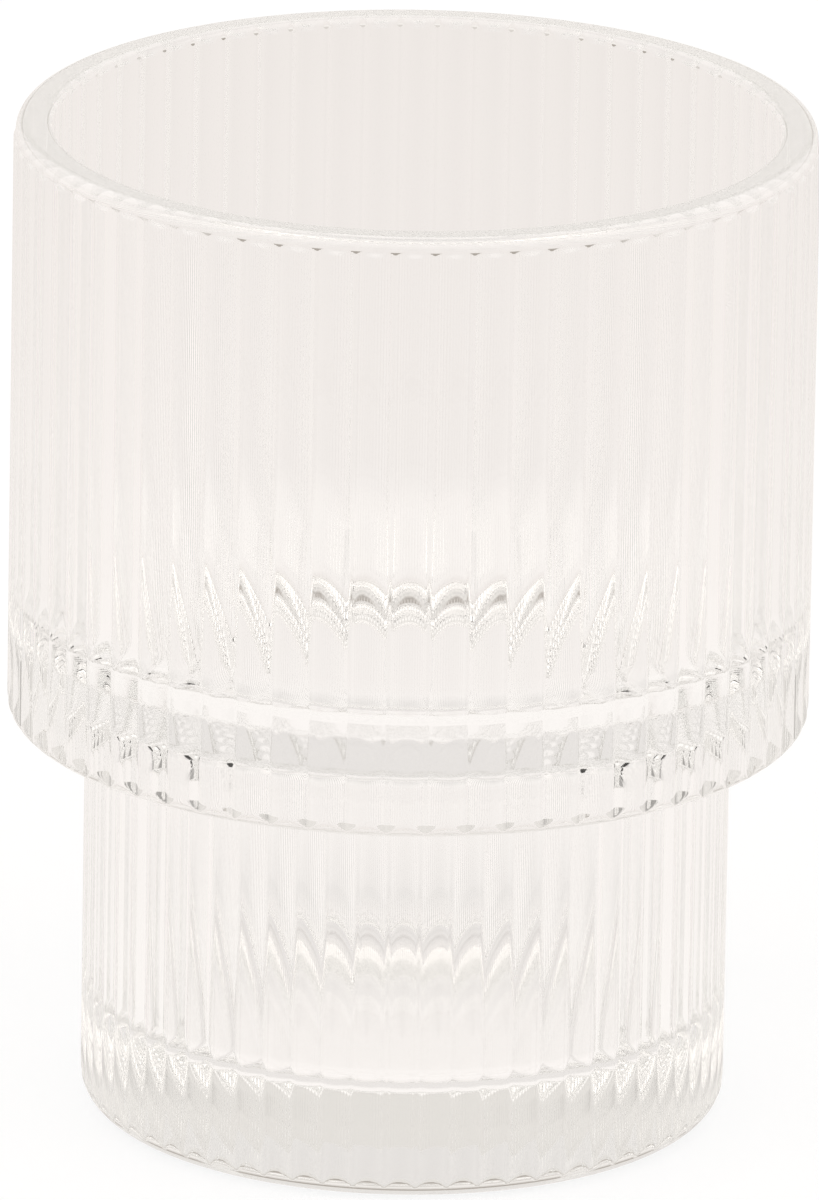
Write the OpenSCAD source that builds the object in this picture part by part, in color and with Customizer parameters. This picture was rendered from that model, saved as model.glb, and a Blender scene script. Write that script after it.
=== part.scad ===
// Reeded stacking tumbler for a flat white, pressed from clear glass in one piece.
// A plain rounded lip, a wide reeded bowl, a rounded shoulder, and a narrower reeded foot on a thick base.
// The axis is Z and the table is at z = 0. Inside, the bowl narrows down a slope into a smooth round well.

/* [Outside] */
// Height from the table to the top of the lip
overall_height = 96; // [92:0.5:120]
// Width of the bowl over the crests of its reeds
bowl_diameter = 75; // [72:0.5:90]
// Width of the foot over the crests of its reeds
foot_diameter = 60.4; // [52:0.2:63]
// Height of the foot from the table to the underside of the shoulder
foot_height = 38; // [32:0.5:42]

/* [Reeds] */
// Number of reeds round the bowl, and round the foot in line with them
reed_count = 64; // [48:2:80]
// Height of a reed's crest over the grooves beside it
reed_depth = 0.6; // [0.3:0.05:0.8]
// Plain band between the top of the reeds and the top of the lip
lip_band = 1.6; // [1.4:0.1:6]
// How far the plain lip stands back from the crests of the reeds
lip_setback = 0.2; // [0.1:0.05:0.5]

/* [Glass thickness] */
// Wall of the bowl, from the crest of a reed to the inside
bowl_wall = 3.6; // [3:0.1:5]
// Wall of the foot, from the crest of a reed to the inside
foot_wall = 3.5; // [3:0.1:5]
// Glass between the underside of the shoulder and the level where the slope inside meets the well
shoulder_thickness = 3.7; // [2.5:0.1:8]
// Base, from the table to the floor of the well
base_thickness = 9.5; // [6:0.5:14]

/* [Inside slope] */
// Steepness of the slope from the bowl down to the well, from level
slope_angle = 49; // [40:1:60]
// Fillet from the wall of the bowl to the slope
slope_fillet = 7; // [2:0.5:9]
// Rounding of the edge where the slope drops into the well
slope_round = 2.5; // [1:0.5:5]

/* [Edges] */
// Rounding of the lip outside
lip_outer_round = 1.2; // [0.6:0.1:1.4]
// Rounding of the lip inside
lip_inner_round = 0.8; // [0.4:0.1:1.4]
// Rounding of the lower edge of the shoulder
shoulder_round = 2; // [1:0.1:4]
// Fillet from the grooves of the foot to the underside of the shoulder
neck_fillet = 1; // [0.8:0.1:2]
// Rounding of the lower edge of the foot
foot_round = 3.4; // [1.5:0.1:5]
// Fillet from the wall of the well to its floor
floor_fillet = 3; // [1.5:0.1:6]

/* [Underside] */
// Width of the flat ring that the glass stands on
bearing_width = 3; // [2:0.5:6]
// Height of the shallow dome inside that ring
push_up = 0.8; // [0.4:0.1:2]

/* [Hidden] */
$fn = 192;
// How far a cutting or filling shape runs on past the surface that it meets
overlap = 1;
// How far outside the crests a lower edge's rounding starts, so that it crosses each crest at an angle
crest_trim = 0.05;
bowl_radius = bowl_diameter / 2;
foot_radius = foot_diameter / 2;
lip_radius = bowl_radius - lip_setback;
bowl_inside = bowl_radius - bowl_wall;
well_inside = foot_radius - foot_wall;
slope_low = foot_height + shoulder_thickness;
slope_top = slope_low + (bowl_inside - well_inside) * tan(slope_angle);
// Angle through which the inside turns at either end of the slope
slope_turn = 90 - slope_angle;
reed_top = overall_height - lip_band;
neck_radius = foot_radius - reed_depth;
bearing_inside = foot_radius - foot_round - bearing_width;
// Sphere through the bearing ring's inner edge and the top of the dome
push_up_radius = (pow(bearing_inside, 2) + pow(push_up, 2)) / (2 * push_up);

// Radius of a reed whose crest is at crest_radius and whose grooves are reed_depth lower
function reed_radius(crest_radius) =
    let (half_pitch = 180 / reed_count)
    let (groove_radius = crest_radius - reed_depth)
    let (half_width = groove_radius * sin(half_pitch))
    let (rise = crest_radius - groove_radius * cos(half_pitch))
    (pow(half_width, 2) + pow(rise, 2)) / (2 * rise);

// Cross-section of a reeded body: a ring of round reeds about a core
module reeded_section(crest_radius) {
    reed = reed_radius(crest_radius);
    circle(r = crest_radius - reed);
    for (i = [0 : reed_count - 1])
        rotate(i * 360 / reed_count)
            translate([crest_radius - reed, 0])
                circle(r = reed);
}

// What lies between a corner and its rounding, with the rounding's centre at the origin.
// The corner's sides stand square to the directions turn and turn + spread.
module corner(radius, turn, spread = 90) {
    reach = radius + overlap;
    rotate(turn)
        difference() {
            polygon([[0, 0], [reach, 0], [reach, reach * tan(spread / 2)],
                     [reach * cos(spread), reach * sin(spread)]]);
            circle(r = radius);
        }
}

// Reeded body between two levels, with its lower edge rounded
module reeded_body(crest_radius, low, high, edge_round) {
    intersection() {
        translate([0, 0, low - overlap])
            linear_extrude(high - low + overlap)
                reeded_section(crest_radius);
        rotate_extrude()
            difference() {
                translate([0, low]) square([crest_radius + overlap, high - low + overlap]);
                translate([crest_radius + crest_trim - edge_round, low + edge_round]) corner(edge_round, -90);
            }
    }
}

// Bowl outside: reeds from the rounded shoulder up to the plain lip
module bowl_form() {
    reeded_body(bowl_radius, foot_height, reed_top, shoulder_round);
    rotate_extrude()
        difference() {
            translate([0, reed_top - overlap]) square([lip_radius, lip_band + overlap]);
            translate([lip_radius - lip_outer_round, overall_height - lip_outer_round]) corner(lip_outer_round, 0);
        }
}

// Foot outside: reeds in line with the bowl's, up to a small fillet under the shoulder
module foot_form() {
    reeded_body(foot_radius, 0, foot_height + overlap, foot_round);
    rotate_extrude()
        translate([neck_radius + neck_fillet, foot_height - neck_fillet])
            corner(neck_fillet, 90);
}

// Inside: the bowl, the slope and the well, as one smooth turned hollow
module hollow() {
    above = overall_height + overlap;
    rotate_extrude() {
        difference() {
            polygon([[0, slope_low], [well_inside, slope_low], [bowl_inside, slope_top],
                     [bowl_inside, above], [0, above]]);
            translate([bowl_inside - slope_fillet, slope_top + slope_fillet * tan(slope_turn / 2)])
                corner(slope_fillet, -slope_turn, slope_turn);
        }
        difference() {
            translate([0, base_thickness]) square([well_inside, slope_low - base_thickness + overlap]);
            translate([well_inside - floor_fillet, base_thickness + floor_fillet]) corner(floor_fillet, -90);
        }
        translate([well_inside + slope_round, slope_low - slope_round * tan(slope_turn / 2)])
            corner(slope_round, 180 - slope_turn, slope_turn);
        translate([bowl_inside + lip_inner_round, overall_height - lip_inner_round]) corner(lip_inner_round, 90);
    }
}

// Shallow dome under the base, which leaves a flat ring to stand on
module push_up_dome() {
    translate([0, 0, push_up - push_up_radius])
        sphere(r = push_up_radius);
}

module tumbler() {
    color([0.93, 0.92, 0.9, 0.35])
        difference() {
            union() {
                bowl_form();
                foot_form();
            }
            hollow();
            push_up_dome();
        }
}

tumbler();
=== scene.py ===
import math

import bpy
from mathutils import Matrix, Vector


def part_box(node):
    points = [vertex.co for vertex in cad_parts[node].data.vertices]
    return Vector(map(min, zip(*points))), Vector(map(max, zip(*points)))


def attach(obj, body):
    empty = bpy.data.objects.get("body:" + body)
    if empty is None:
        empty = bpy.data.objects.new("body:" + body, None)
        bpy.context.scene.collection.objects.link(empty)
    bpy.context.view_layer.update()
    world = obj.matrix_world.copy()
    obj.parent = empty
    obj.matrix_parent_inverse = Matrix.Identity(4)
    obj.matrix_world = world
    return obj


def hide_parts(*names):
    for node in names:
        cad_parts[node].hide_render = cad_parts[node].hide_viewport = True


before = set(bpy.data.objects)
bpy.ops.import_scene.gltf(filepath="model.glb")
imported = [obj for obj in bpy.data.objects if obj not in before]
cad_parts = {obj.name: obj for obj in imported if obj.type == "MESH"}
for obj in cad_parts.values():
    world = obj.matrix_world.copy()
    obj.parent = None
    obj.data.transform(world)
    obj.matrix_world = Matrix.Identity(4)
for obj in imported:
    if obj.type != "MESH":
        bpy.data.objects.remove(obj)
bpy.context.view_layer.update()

MM = 0.001

# Sizes of the glass, in metres: the outside comes from the frame, the rest repeats the part's own values
glass_low, glass_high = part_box("tumbler")
HEIGHT = glass_high[2] - glass_low[2]
BOWL_RADIUS = (glass_high[0] - glass_low[0]) / 2
FOOT_RADIUS = 30.2 * MM
FOOT_HEIGHT = 38.0 * MM
BOWL_WALL = 3.6 * MM
BOWL_INSIDE = BOWL_RADIUS - BOWL_WALL
FOOT_WALL = 3.5 * MM
WELL_INSIDE = FOOT_RADIUS - FOOT_WALL
FLOOR_LEVEL = 9.5 * MM
LIP_BAND = 1.6 * MM
LIP_SETBACK = 0.2 * MM
LIP_RADIUS = BOWL_RADIUS - LIP_SETBACK
LIP_OUTER_ROUND = 1.2 * MM
LIP_INNER_ROUND = 0.8 * MM
SHOULDER_ROUND = 2.0 * MM
NECK_FILLET = 1.0 * MM
FOOT_ROUND = 3.4 * MM
FLOOR_FILLET = 3.0 * MM
BEARING_WIDTH = 3.0 * MM
PUSH_UP = 0.8 * MM
CREST_TRIM = 0.05 * MM

# Slope inside, from the bowl down to the well
SLOPE_ANGLE = 49.0
SHOULDER_THICKNESS = 3.7 * MM
SLOPE_LOW = FOOT_HEIGHT + SHOULDER_THICKNESS
SLOPE_TOP = SLOPE_LOW + (BOWL_INSIDE - WELL_INSIDE) * math.tan(math.radians(SLOPE_ANGLE))
SLOPE_FILLET = 7.0 * MM
SLOPE_ROUND = 2.5 * MM

# Reeds, with the finish of fire-polished glass: rounded grooves and soft edges.
# Under the lip they end over twice the height REED_END, on a slope that leans out from the upright.
REED_COUNT = 64
REED_DEPTH = 0.6 * MM
GROOVE_ROUND = 0.45 * MM
EDGE_SOFTNESS = 0.12 * MM
REED_END = 0.28 * MM
LIP_SLOPE = math.radians(39.3)
LIP_SOFTNESS = 0.03 * MM

# Where the points of a reed lie, as shares of the pitch: from the groove beside it, over the crest at 0,
# to just before the next groove
GROOVE_PLACE = -0.5
REED_HALF = (0.0, 0.08, 0.16, 0.24, 0.32, 0.39, 0.445, 0.48)
REED_PLACES = [GROOVE_PLACE] + [-place for place in reversed(REED_HALF[1:])] + list(REED_HALF)
# The smooth inside needs only every fourth of these points
INSIDE_STEP = 4

# Steps along each rounding, and the shares of the flat floor's radius that have a ring
DOME_STEPS = 6
LOWER_EDGE_STEPS = 14
NECK_STEPS = 7
REED_END_STEPS = 9
LIP_OUTER_STEPS = 9
LIP_INNER_STEPS = 7
SLOPE_FILLET_STEPS = 12
SLOPE_ROUND_STEPS = 8
FLOOR_FILLET_STEPS = 12
FLOOR_SHARES = (0.66, 0.33)
# How far from a lower edge, the neck and the reeds' ends the plain stretches lie, clear of the soft edges
LOWER_EDGE_CLEAR = 0.5 * MM
NECK_CLEAR = 0.4 * MM
LIP_CLEAR = 0.04 * MM


def reed_row(crest):
    """For each place across a reed: distance from the axis, and the normal's outward and sideways parts."""
    pitch = 2 * math.pi / REED_COUNT
    groove = crest - REED_DEPTH
    half_width = groove * math.sin(pitch / 2)
    rise = crest - groove * math.cos(pitch / 2)
    reed = (half_width ** 2 + rise ** 2) / (2 * rise)
    centre = crest - reed
    # The groove's round lies against the reeds on both sides of it
    reach = centre * math.cos(pitch / 2)
    reach += math.sqrt((reed + GROOVE_ROUND) ** 2 - (centre * math.sin(pitch / 2)) ** 2)
    fill_x, fill_y = reach * math.cos(pitch / 2), reach * math.sin(pitch / 2)
    share = reed / (reed + GROOVE_ROUND)
    touch = math.atan2(fill_y * share, centre + (fill_x - centre) * share)
    row = []
    for place in REED_PLACES:
        angle = abs(place) * pitch
        if angle <= touch:
            r = centre * math.cos(angle) + math.sqrt(reed ** 2 - (centre * math.sin(angle)) ** 2)
            nx = (r * math.cos(angle) - centre) / reed
            ny = r * math.sin(angle) / reed
        else:
            off = pitch / 2 - angle
            r = reach * math.cos(off) - math.sqrt(GROOVE_ROUND ** 2 - (reach * math.sin(off)) ** 2)
            nx = (fill_x - r * math.cos(angle)) / GROOVE_ROUND
            ny = (fill_y - r * math.sin(angle)) / GROOVE_ROUND
        outward = nx * math.cos(angle) + ny * math.sin(angle)
        sideways = math.copysign(ny * math.cos(angle) - nx * math.sin(angle), place)
        if place in (0.0, GROOVE_PLACE):
            sideways = 0.0
        row.append((r, outward, sideways))
    return row


def arc(centre_radius, centre_height, radius, start, end, steps, hollow=False):
    """Points of a rounding in the half-section.

    Each has its distance from the axis, its height, and the normal's outward and upward parts.
    """
    facing = -1 if hollow else 1
    points = []
    for i in range(steps + 1):
        angle = math.radians(start + (end - start) * i / steps)
        c, s = math.cos(angle), math.sin(angle)
        points.append((centre_radius + radius * c, centre_height + radius * s, facing * c, facing * s))
    return points


def turned(point):
    """Ring of a plain turned surface.

    Each place has a distance from the axis, and the normal's outward, sideways and upward parts.
    """
    r, _, outward, upward = point
    return [(r, outward, 0.0, upward)] * len(REED_PLACES)


def straight(reeds):
    """Ring of the reeds alone."""
    return [(r, outward, sideways, 0.0) for r, outward, sideways in reeds]


def softly_joined(point, reeds, facing, softness=EDGE_SOFTNESS):
    """Ring where a turned rounding meets the reeds in a soft edge.

    Facing is 1 to cut the reeds and -1 to fill their grooves.
    """
    turned_r, _, turned_out, turned_up = point
    ring = []
    for r, outward, sideways in reeds:
        share = min(1.0, max(0.0, 0.5 + 0.5 * facing * (r - turned_r) / softness))
        distance = r + (turned_r - r) * share - facing * softness * share * (1 - share)
        rest = 1 - share
        ring.append((distance, turned_out * share + outward * rest, sideways * rest, turned_up * share))
    return ring


def ended(reeds, step):
    """Ring at the top of the reeds.

    The crests sink into the lip, and a slope under it closes the grooves.
    The step runs from 0, all reed, to 1, all lip.
    """
    share = 1 - step * step * (3 - 2 * step)
    steepness = 6 * step * (1 - step) / (2 * REED_END)
    slope_radius = LIP_RADIUS - (1 - step) * 2 * REED_END * math.tan(LIP_SLOPE)
    slope = (slope_radius, None, math.cos(LIP_SLOPE), -math.sin(LIP_SLOPE))
    closed = softly_joined(slope, reeds, -1, LIP_SOFTNESS)
    ring = []
    for (r, outward, sideways), groove in zip(reeds, closed):
        proud = r - LIP_RADIUS
        crest = (LIP_RADIUS + proud * share, 1.0, sideways / outward * share, proud * steepness)
        ring.append(crest if proud > 0 else groove)
    return ring


def foot_rings():
    """Rings of the foot's outside as (height, ring), from the dome under it up to the shoulder."""
    reeds = reed_row(FOOT_RADIUS)
    rings = []
    dome = FOOT_RADIUS - FOOT_ROUND - BEARING_WIDTH
    for i in range(1, DOME_STEPS + 1):
        share = i / DOME_STEPS
        point = (dome * share, PUSH_UP * (1 - share ** 2), -2 * PUSH_UP * share / dome, -1.0)
        rings.append((point[1], turned(point)))
    edge = FOOT_RADIUS + CREST_TRIM - FOOT_ROUND
    for point in arc(edge, FOOT_ROUND, FOOT_ROUND, -90, 0, LOWER_EDGE_STEPS):
        rings.append((point[1], softly_joined(point, reeds, 1)))
    rings.append((FOOT_ROUND + LOWER_EDGE_CLEAR, straight(reeds)))
    rings.append((FOOT_HEIGHT - NECK_FILLET - NECK_CLEAR, straight(reeds)))
    neck = FOOT_RADIUS - REED_DEPTH + NECK_FILLET
    for point in arc(neck, FOOT_HEIGHT - NECK_FILLET, NECK_FILLET, 180, 90, NECK_STEPS, True):
        rings.append((point[1], softly_joined(point, reeds, -1)))
    return rings


def bowl_rings():
    """Rings of the bowl's outside as (height, ring), from the shoulder up to the top of the lip."""
    reeds = reed_row(BOWL_RADIUS)
    rings = []
    edge = BOWL_RADIUS + CREST_TRIM - SHOULDER_ROUND
    for point in arc(edge, FOOT_HEIGHT + SHOULDER_ROUND, SHOULDER_ROUND, -90, 0, LOWER_EDGE_STEPS):
        rings.append((point[1], softly_joined(point, reeds, 1)))
    rings.append((FOOT_HEIGHT + SHOULDER_ROUND + LOWER_EDGE_CLEAR, straight(reeds)))
    for i in range(REED_END_STEPS + 1):
        step = i / REED_END_STEPS
        rings.append((HEIGHT - LIP_BAND + (2 * step - 1) * REED_END, ended(reeds, step)))
    lip_start = HEIGHT - LIP_BAND + REED_END + LIP_CLEAR
    rings.append((lip_start, turned((LIP_RADIUS, lip_start, 1.0, 0.0))))
    corner = LIP_RADIUS - LIP_OUTER_ROUND
    for point in arc(corner, HEIGHT - LIP_OUTER_ROUND, LIP_OUTER_ROUND, 0, 90, LIP_OUTER_STEPS):
        rings.append((point[1], turned(point)))
    return rings


def inside_points():
    """Half-section of the smooth inside, from the top of the lip down to the floor of the well."""
    back = math.tan(math.radians((90 - SLOPE_ANGLE) / 2))
    points = arc(
        BOWL_INSIDE + LIP_INNER_ROUND, HEIGHT - LIP_INNER_ROUND, LIP_INNER_ROUND,
        90, 180, LIP_INNER_STEPS)
    points += arc(
        BOWL_INSIDE - SLOPE_FILLET, SLOPE_TOP + SLOPE_FILLET * back, SLOPE_FILLET,
        0, SLOPE_ANGLE - 90, SLOPE_FILLET_STEPS, True)
    points += arc(
        WELL_INSIDE + SLOPE_ROUND, SLOPE_LOW - SLOPE_ROUND * back, SLOPE_ROUND,
        90 + SLOPE_ANGLE, 180, SLOPE_ROUND_STEPS)
    points += arc(
        WELL_INSIDE - FLOOR_FILLET, FLOOR_LEVEL + FLOOR_FILLET, FLOOR_FILLET,
        0, -90, FLOOR_FILLET_STEPS, True)
    points += [(points[-1][0] * share, FLOOR_LEVEL, 0.0, 1.0) for share in FLOOR_SHARES]
    return points


def glass_mesh():
    """One closed mesh of the whole glass, with the exact normals of its curves."""
    vertices, normals, faces = [], [], []
    angles = [(i + place) * 2 * math.pi / REED_COUNT for i in range(REED_COUNT) for place in REED_PLACES]

    def add(height, angle, distance, outward, sideways, upward):
        c, s = math.cos(angle), math.sin(angle)
        vertices.append((distance * c, distance * s, height))
        normal = Vector((outward * c - sideways * s, outward * s + sideways * c, upward))
        normals.append(normal.normalized())
        return len(vertices) - 1

    def join(low, high):
        for i in range(len(low)):
            k = (i + 1) % len(low)
            faces.append((low[i], low[k], high[k], high[i]))

    def cap(ring, height, facing):
        centre = add(height, 0.0, 0.0, 0.0, 0.0, facing)
        for i in range(len(ring)):
            k = (i + 1) % len(ring)
            faces.append((ring[i], ring[k], centre) if facing > 0 else (ring[k], ring[i], centre))

    def cross_lip(outer, inner):
        """Joins the fine ring at the top of the lip to the first, coarser ring of the inside."""
        half = INSIDE_STEP // 2
        for k in range(len(inner)):
            fine = [outer[(INSIDE_STEP * k + j) % len(outer)] for j in range(INSIDE_STEP + 1)]
            first, second = inner[k], inner[(k + 1) % len(inner)]
            faces.append((fine[half], second, first))
            for j in range(INSIDE_STEP):
                faces.append((fine[j], fine[j + 1], first if j < half else second))

    previous = None
    for height, ring in foot_rings() + bowl_rings():
        row = [add(height, angle, *ring[i % len(ring)]) for i, angle in enumerate(angles)]
        if previous is None:
            cap(row, PUSH_UP, -1)
        else:
            join(previous, row)
        previous = row
    for i, (r, height, outward, upward) in enumerate(inside_points()):
        row = [add(height, angle, r, outward, 0.0, upward) for angle in angles[::INSIDE_STEP]]
        if i == 0:
            cross_lip(previous, row)
        else:
            join(previous, row)
        previous = row
    cap(previous, FLOOR_LEVEL, 1)
    mesh = bpy.data.meshes.new("tumbler_glass")
    mesh.from_pydata(vertices, [], faces)
    mesh.shade_smooth()
    mesh.normals_split_custom_set_from_vertices(normals)
    return mesh


# Glass: how it bends light, and its faint tint
GLASS_IOR = 1.5
TINT = (0.926, 0.932, 0.927, 1.0)
TINT_DENSITY = 11.0
# Finish of the glass: its duller patches and its waves as repeats a metre, the range of roughness,
# and how far the waves are drawn out and stand up
PATCH_SCALE = 90.0
ROUGHNESS = (0.005, 0.05)
WAVE_SCALE = 220.0
WAVE_STRETCH = 0.25
WAVE_HEIGHT = 0.008 * MM
WHITE = (1.0, 1.0, 1.0, 1.0)


def glass_material():
    """Clear pressed glass with a faint grey-green tint through its thickness."""
    material = bpy.data.materials.new("clear_pressed_glass")
    material.use_nodes = True
    nodes, links = material.node_tree.nodes, material.node_tree.links
    shader = nodes["Principled BSDF"]
    shader.inputs["Base Color"].default_value = WHITE
    shader.inputs["Transmission Weight"].default_value = 1.0
    shader.inputs["IOR"].default_value = GLASS_IOR
    place = nodes.new("ShaderNodeTexCoord")
    # Patches where the fire polish is a little duller
    patches = nodes.new("ShaderNodeTexNoise")
    patches.inputs["Scale"].default_value = PATCH_SCALE
    patches.inputs["Detail"].default_value = 0.0
    links.new(place.outputs["Object"], patches.inputs["Vector"])
    gloss = nodes.new("ShaderNodeMapRange")
    gloss.inputs["To Min"].default_value, gloss.inputs["To Max"].default_value = ROUGHNESS
    links.new(patches.outputs["Fac"], gloss.inputs["Value"])
    links.new(gloss.outputs["Result"], shader.inputs["Roughness"])
    # Faint waves that pressing leaves in the surface, drawn out along the height
    stretch = nodes.new("ShaderNodeMapping")
    stretch.inputs["Scale"].default_value = (1.0, 1.0, WAVE_STRETCH)
    links.new(place.outputs["Object"], stretch.inputs["Vector"])
    waves = nodes.new("ShaderNodeTexNoise")
    waves.inputs["Scale"].default_value = WAVE_SCALE
    waves.inputs["Detail"].default_value = 0.0
    links.new(stretch.outputs["Vector"], waves.inputs["Vector"])
    bump = nodes.new("ShaderNodeBump")
    bump.inputs["Distance"].default_value = WAVE_HEIGHT
    links.new(waves.outputs["Fac"], bump.inputs["Height"])
    links.new(bump.outputs["Normal"], shader.inputs["Normal"])
    tint = nodes.new("ShaderNodeVolumeAbsorption")
    tint.inputs["Color"].default_value = TINT
    tint.inputs["Density"].default_value = TINT_DENSITY
    links.new(tint.outputs["Volume"], nodes["Material Output"].inputs["Volume"])
    return material


glass = bpy.data.objects.new("tumbler_glass", glass_mesh())
bpy.context.collection.objects.link(glass)
glass.data.materials.append(glass_material())
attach(glass, "root")
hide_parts("tumbler")

# Camera of the photograph: its direction and distance from the place that it aims at,
# and the lens that gives the photograph's scale there
VIEW_ELEVATION = math.radians(18.0)
VIEW_DISTANCE = 2.25
VIEW_ROLL = math.radians(0.96)
VIEW_END = 100.0
AIM = Vector((0.0, 0.0, 0.04925))
PHOTO_HEIGHT_PIXELS = 1200
PIXELS_PER_METRE = 10699.0
SENSOR = 36.0

camera_data = bpy.data.cameras.new("camera")
camera_data.sensor_width = SENSOR
camera_data.lens = PIXELS_PER_METRE * VIEW_DISTANCE * SENSOR / PHOTO_HEIGHT_PIXELS
camera_data.clip_end = VIEW_END
camera = bpy.data.objects.new("camera", camera_data)
bpy.context.collection.objects.link(camera)
towards = Vector((0.0, math.cos(VIEW_ELEVATION), -math.sin(VIEW_ELEVATION)))
camera.location = AIM - towards * VIEW_DISTANCE
turn = towards.to_track_quat("-Z", "Y").to_matrix().to_4x4() @ Matrix.Rotation(VIEW_ROLL, 4, "Z")
camera.rotation_euler = turn.to_euler()
bpy.context.scene.camera = camera

# Surroundings: a pale table, just clear of the glass, in a soft light tent that is lit from the front
TABLE_RADIUS = 3.0
TABLE_DROP = 0.01 * MM
TABLE_SEGMENTS = 128
# Painted light: tones that the table glows in for the glass, at distances from the axis,
# and the share of them that is left straight behind, in painted shade
TABLE_GLOW_TONES = [
    (0.00, (0.980, 0.935, 0.906)),
    (0.05, (0.992, 0.956, 0.923)),
    (0.10, (0.972, 0.928, 0.895)),
    (0.18, (0.978, 0.932, 0.898)),
    (0.26, (0.925, 0.877, 0.843)),
    (0.40, (0.910, 0.860, 0.823)),
]
# Painted shade: shares of the glow left straight behind the glass, as if the table were lit from the front
PAINTED_SHADE_BEHIND = [
    (0.00, 0.92),
    (0.10, 0.93),
    (0.18, 0.875),
    (0.26, 0.93),
    (0.40, 0.93),
]
# Shade where the foot meets the table: a ring, half its width inside and outside its soft edge,
# and the share of the tone that is left
CONTACT_RADIUS = 0.0275
CONTACT_HALF = (0.0025, 0.0040)
CONTACT_LEFT = 0.84
# Round shade that is cast behind the foot: its place on Y, its radius inside and outside its soft edge,
# the distances from the axis over which it sets in, and the share of the tone that is left
CAST_PLACE = 0.035
CAST_REACH = (0.020, 0.048)
CAST_START = (0.029, 0.032)
CAST_LEFT = 0.875
# Tones of the tent in front of the glass and behind it, at heights in degrees above the table,
# and the places on Y between which the front passes into the back
TENT_CHANGE = (-0.3, 0.3)
TENT_FRONT = [
    (-90.0, (0.90, 0.86, 0.82)),
    (5.0, (0.95, 0.91, 0.87)),
    (7.0, (0.62, 0.58, 0.54)),
    (9.0, (0.62, 0.58, 0.54)),
    (11.0, (1.03, 0.99, 0.95)),
    (25.0, (1.08, 1.04, 1.00)),
    (32.0, (1.50, 1.42, 1.345)),
    (90.0, (1.50, 1.42, 1.345)),
]
TENT_BACK = [
    (-90.0, (0.88, 0.84, 0.80)),
    (3.0, (0.93, 0.89, 0.85)),
    (4.0, (0.93, 0.89, 0.85)),
    (5.0, (0.76, 0.72, 0.68)),
    (7.0, (0.66, 0.62, 0.58)),
    (8.0, (0.36, 0.32, 0.28)),
    (10.0, (0.36, 0.32, 0.28)),
    (11.5, (0.80, 0.765, 0.725)),
    (27.0, (0.80, 0.765, 0.725)),
    (31.0, (1.12, 1.08, 1.04)),
    (42.0, (1.12, 1.08, 1.04)),
    (48.0, (0.92, 0.88, 0.84)),
    (56.0, (0.92, 0.88, 0.84)),
    (64.0, (1.05, 1.01, 0.97)),
    (90.0, (1.05, 1.01, 0.97)),
]
# Dark openings at both sides of the tent: their heights in degrees, the share of half their height
# that is fully dark, the places on X over which they set in, and the share of the tone that is left
OPENING_HEIGHTS = (14.0, 19.5)
OPENING_CORE = 0.8
OPENING_START = (0.55, 0.70)
OPENING_LEFT = 0.45
# Seam across the top of the tent: its place on Y, half its width inside and outside its soft edge,
# the heights on Z over which it sets in, and the share of the tone that is left
SEAM_PLACE = 0.12
SEAM_HALF = (0.13, 0.17)
SEAM_START = (0.30, 0.45)
SEAM_LEFT = 0.0
# What camera rays see on the table: white, with this share of plain lit surface, so that the shadow shows
SHADOW_SHARE = 0.18
WHITE_STRENGTH = 1.04
# Light crosses many walls of the reeded glass before it is out again
BOUNCES = 64


def calculation(tree, operation, first, second):
    """Socket of one sum: each of the two terms is a socket or a number."""
    node = tree.nodes.new("ShaderNodeMath")
    node.operation = operation
    for socket, term in zip(node.inputs, (first, second)):
        if isinstance(term, bpy.types.NodeSocket):
            tree.links.new(term, socket)
        else:
            socket.default_value = term
    return node.outputs["Value"]


def graded(tree, value, low, high, start, end):
    """Socket that runs from start to end while value runs from low to high."""
    node = tree.nodes.new("ShaderNodeMapRange")
    for name, number in (("From Min", low), ("From Max", high), ("To Min", start), ("To Max", end)):
        node.inputs[name].default_value = number
    tree.links.new(value, node.inputs["Value"])
    return node.outputs["Result"]


def away(tree, value, place):
    """Socket of how far value lies from a place, to either side."""
    return calculation(tree, "ABSOLUTE", calculation(tree, "SUBTRACT", value, place), 0.0)


def distance_from(tree, coordinate, place):
    """Socket of the distance between a coordinate and a place."""
    node = tree.nodes.new("ShaderNodeVectorMath")
    node.operation = "DISTANCE"
    node.inputs[1].default_value = place
    tree.links.new(coordinate, node.inputs[0])
    return node.outputs["Value"]


def toned(tree, stops):
    """Colour ramp with tones at positions from 0 to 1."""
    node = tree.nodes.new("ShaderNodeValToRGB")
    elements = node.color_ramp.elements
    while len(elements) < len(stops):
        elements.new(1.0)
    for element, (position, tone) in zip(elements, stops):
        element.position = position
        element.color = tone + (1.0,)
    return node


def seen_through_glass(tree):
    """Socket that is 0 for rays from the camera and 1 for the rays that light and fill the glass."""
    path = tree.nodes.new("ShaderNodeLightPath")
    return calculation(tree, "SUBTRACT", 1.0, path.outputs["Is Camera Ray"])


def places(tree, output):
    """Sockets of X, Y and Z of one of the texture coordinates, and the coordinate's own socket."""
    coordinate = tree.nodes.new("ShaderNodeTexCoord").outputs[output]
    parts = tree.nodes.new("ShaderNodeSeparateXYZ")
    tree.links.new(coordinate, parts.inputs["Vector"])
    return parts.outputs, coordinate


def chosen(tree, for_camera, for_glass):
    """Shader socket that shows one shader to the camera and the other to the glass."""
    choice = tree.nodes.new("ShaderNodeMixShader")
    tree.links.new(seen_through_glass(tree), choice.inputs["Fac"])
    tree.links.new(for_camera, choice.inputs[1])
    tree.links.new(for_glass, choice.inputs[2])
    return choice.outputs["Shader"]


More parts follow.
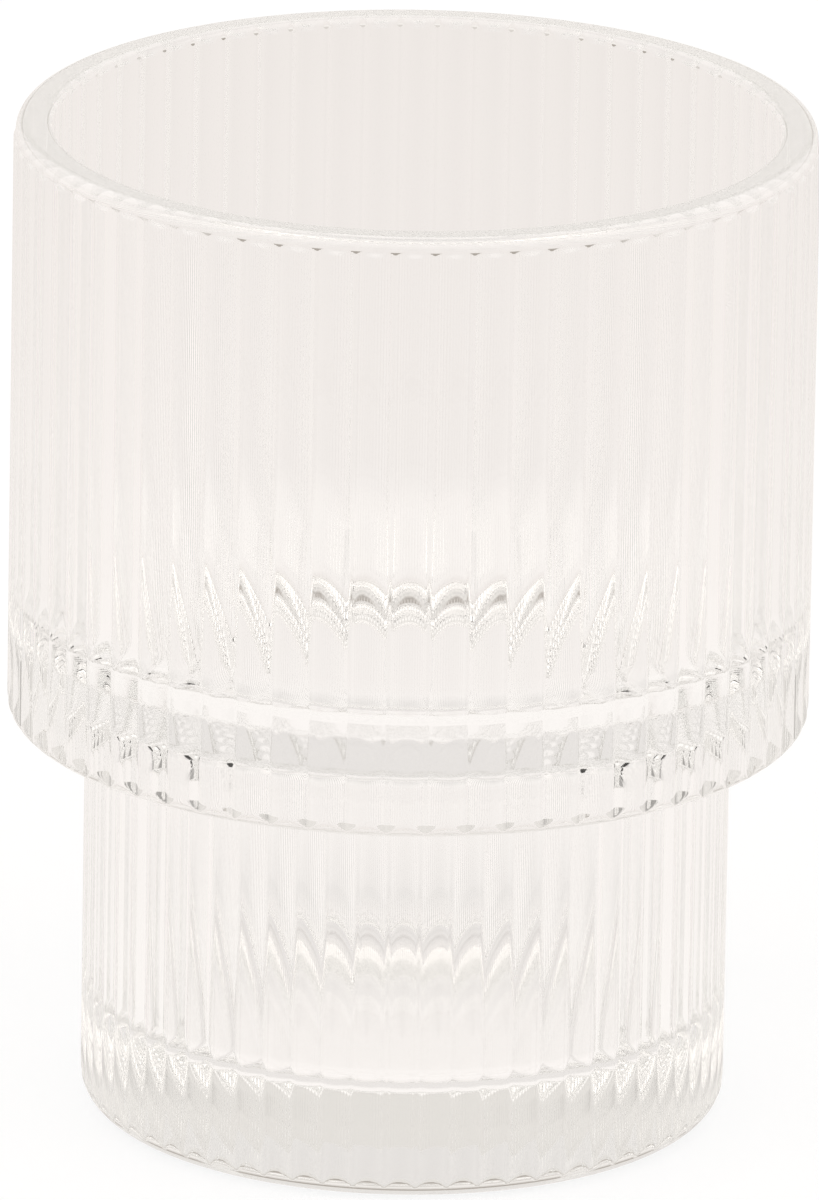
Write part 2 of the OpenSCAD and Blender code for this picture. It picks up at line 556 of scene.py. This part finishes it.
def white_table(tree):
    """Shader socket of the table as the camera sees it: white, with a pale shadow."""
    lit = tree.nodes.new("ShaderNodeBsdfDiffuse")
    lit.inputs["Color"].default_value = WHITE
    white = tree.nodes.new("ShaderNodeEmission")
    white.inputs["Color"].default_value = WHITE
    white.inputs["Strength"].default_value = WHITE_STRENGTH
    background = tree.nodes.new("ShaderNodeMixShader")
    background.inputs["Fac"].default_value = SHADOW_SHARE
    tree.links.new(white.outputs["Emission"], background.inputs[1])
    tree.links.new(lit.outputs["BSDF"], background.inputs[2])
    return background.outputs["Shader"]


def toned_table(tree):
    """Shader socket of the table as the glass shows it: painted glow in pale tones, painted shades about
    the foot.
    """
    parts, coordinate = places(tree, "Object")
    from_axis = distance_from(tree, coordinate, (0.0, 0.0, 0.0))
    # Painted light: the table glows in tones that change with the distance from the axis
    reach = TABLE_GLOW_TONES[-1][0]
    tones = toned(tree, [(place / reach, tone) for place, tone in TABLE_GLOW_TONES])
    left = toned(tree, [(place / reach, (share, share, share)) for place, share in PAINTED_SHADE_BEHIND])
    for ramp in (tones, left):
        tree.links.new(graded(tree, from_axis, 0.0, reach, 0.0, 1.0), ramp.inputs["Fac"])
    # Painted shade: the glow is darker straight behind the glass, as if the table were lit from the front
    sideways = calculation(tree, "DIVIDE", away(tree, parts["X"], 0.0), from_axis)
    straight_behind = calculation(
        tree, "MULTIPLY", calculation(tree, "SUBTRACT", 1.0, sideways),
        calculation(tree, "GREATER_THAN", parts["Y"], 0.0))
    painted_darkening_behind = calculation(tree, "SUBTRACT", 1.0, left.outputs["Color"])
    behind = calculation(tree, "SUBTRACT", 1.0, calculation(tree, "MULTIPLY", straight_behind, painted_darkening_behind))
    contact = graded(tree, away(tree, from_axis, CONTACT_RADIUS), *CONTACT_HALF, CONTACT_LEFT, 1.0)
    from_cast = distance_from(tree, coordinate, (0.0, CAST_PLACE, 0.0))
    in_cast = calculation(
        tree, "MULTIPLY", graded(tree, from_cast, *CAST_REACH, 1.0, 0.0),
        graded(tree, from_axis, *CAST_START, 0.0, 1.0))
    cast = graded(tree, in_cast, 0.0, 1.0, 1.0, CAST_LEFT)
    shade = calculation(tree, "MULTIPLY", contact, cast)
    tone = tree.nodes.new("ShaderNodeEmission")
    tree.links.new(tones.outputs["Color"], tone.inputs["Color"])
    tree.links.new(calculation(tree, "MULTIPLY", behind, shade), tone.inputs["Strength"])
    return tone.outputs["Emission"]


def table_material():
    """Table: white to the camera, and a painted glow in pale tones to the glass."""
    material = bpy.data.materials.new("table")
    material.use_nodes = True
    tree = material.node_tree
    tree.nodes.clear()
    output = tree.nodes.new("ShaderNodeOutputMaterial")
    tree.links.new(chosen(tree, white_table(tree), toned_table(tree)), output.inputs["Surface"])
    return material


def tent_tones(tree, parts):
    """Colour socket of the tent by height, with its front passing into its back."""
    height = graded(tree, parts["Z"], -1.0, 1.0, 0.0, 1.0)
    tones = tree.nodes.new("ShaderNodeMixRGB")
    tree.links.new(graded(tree, parts["Y"], *TENT_CHANGE, 0.0, 1.0), tones.inputs["Fac"])
    for side, socket in ((TENT_FRONT, "Color1"), (TENT_BACK, "Color2")):
        stops = [(0.5 + 0.5 * math.sin(math.radians(degrees)), tone) for degrees, tone in side]
        ramp = toned(tree, stops)
        tree.links.new(height, ramp.inputs["Fac"])
        tree.links.new(ramp.outputs["Color"], tones.inputs[socket])
    return tones.outputs["Color"]


def tent_strength(tree, parts):
    """Socket of the share of the tone that the seam and the openings leave."""
    in_seam = calculation(
        tree, "MULTIPLY", graded(tree, away(tree, parts["Y"], SEAM_PLACE), *SEAM_HALF, 1.0, 0.0),
        graded(tree, parts["Z"], *SEAM_START, 0.0, 1.0))
    seam = graded(tree, in_seam, 0.0, 1.0, 1.0, SEAM_LEFT)
    low, high = OPENING_HEIGHTS
    middle = math.sin(math.radians((high + low) / 2))
    half = math.sin(math.radians((high - low) / 2))
    in_opening = calculation(
        tree, "MULTIPLY",
        graded(tree, away(tree, parts["Z"], middle), OPENING_CORE * half, half, 1.0, 0.0),
        graded(tree, away(tree, parts["X"], 0.0), *OPENING_START, 0.0, 1.0))
    opening = graded(tree, in_opening, 0.0, 1.0, 1.0, OPENING_LEFT)
    return calculation(tree, "MULTIPLY", seam, opening)


def fill_world(tree):
    """Surroundings: white to the camera, and the tent to the glass."""
    tree.nodes.clear()
    parts, _ = places(tree, "Generated")
    tent = tree.nodes.new("ShaderNodeBackground")
    tree.links.new(tent_tones(tree, parts), tent.inputs["Color"])
    tree.links.new(tent_strength(tree, parts), tent.inputs["Strength"])
    white = tree.nodes.new("ShaderNodeBackground")
    white.inputs["Color"].default_value = WHITE
    output = tree.nodes.new("ShaderNodeOutputWorld")
    shown = chosen(tree, white.outputs["Background"], tent.outputs["Background"])
    tree.links.new(shown, output.inputs["Surface"])


rim = [2 * math.pi * i / TABLE_SEGMENTS for i in range(TABLE_SEGMENTS)]
table_mesh = bpy.data.meshes.new("table")
table_mesh.from_pydata(
    [(TABLE_RADIUS * math.cos(angle), TABLE_RADIUS * math.sin(angle), -TABLE_DROP) for angle in rim],
    [], [tuple(range(TABLE_SEGMENTS))])
table = bpy.data.objects.new("table", table_mesh)
bpy.context.collection.objects.link(table)
table_mesh.materials.append(table_material())
# Nothing here is a small lamp: rays find the table and the tent by themselves,
# and looking for them takes longer
table_mesh.materials[0].cycles.emission_sampling = "NONE"

world = bpy.data.worlds.new("world")
bpy.context.scene.world = world
world.use_nodes = True
fill_world(world.node_tree)
world.cycles.sampling_method = "NONE"

scene = bpy.context.scene
scene.cycles.max_bounces = BOUNCES
scene.cycles.glossy_bounces = BOUNCES
scene.cycles.transmission_bounces = BOUNCES
scene.view_settings.view_transform = "Standard"
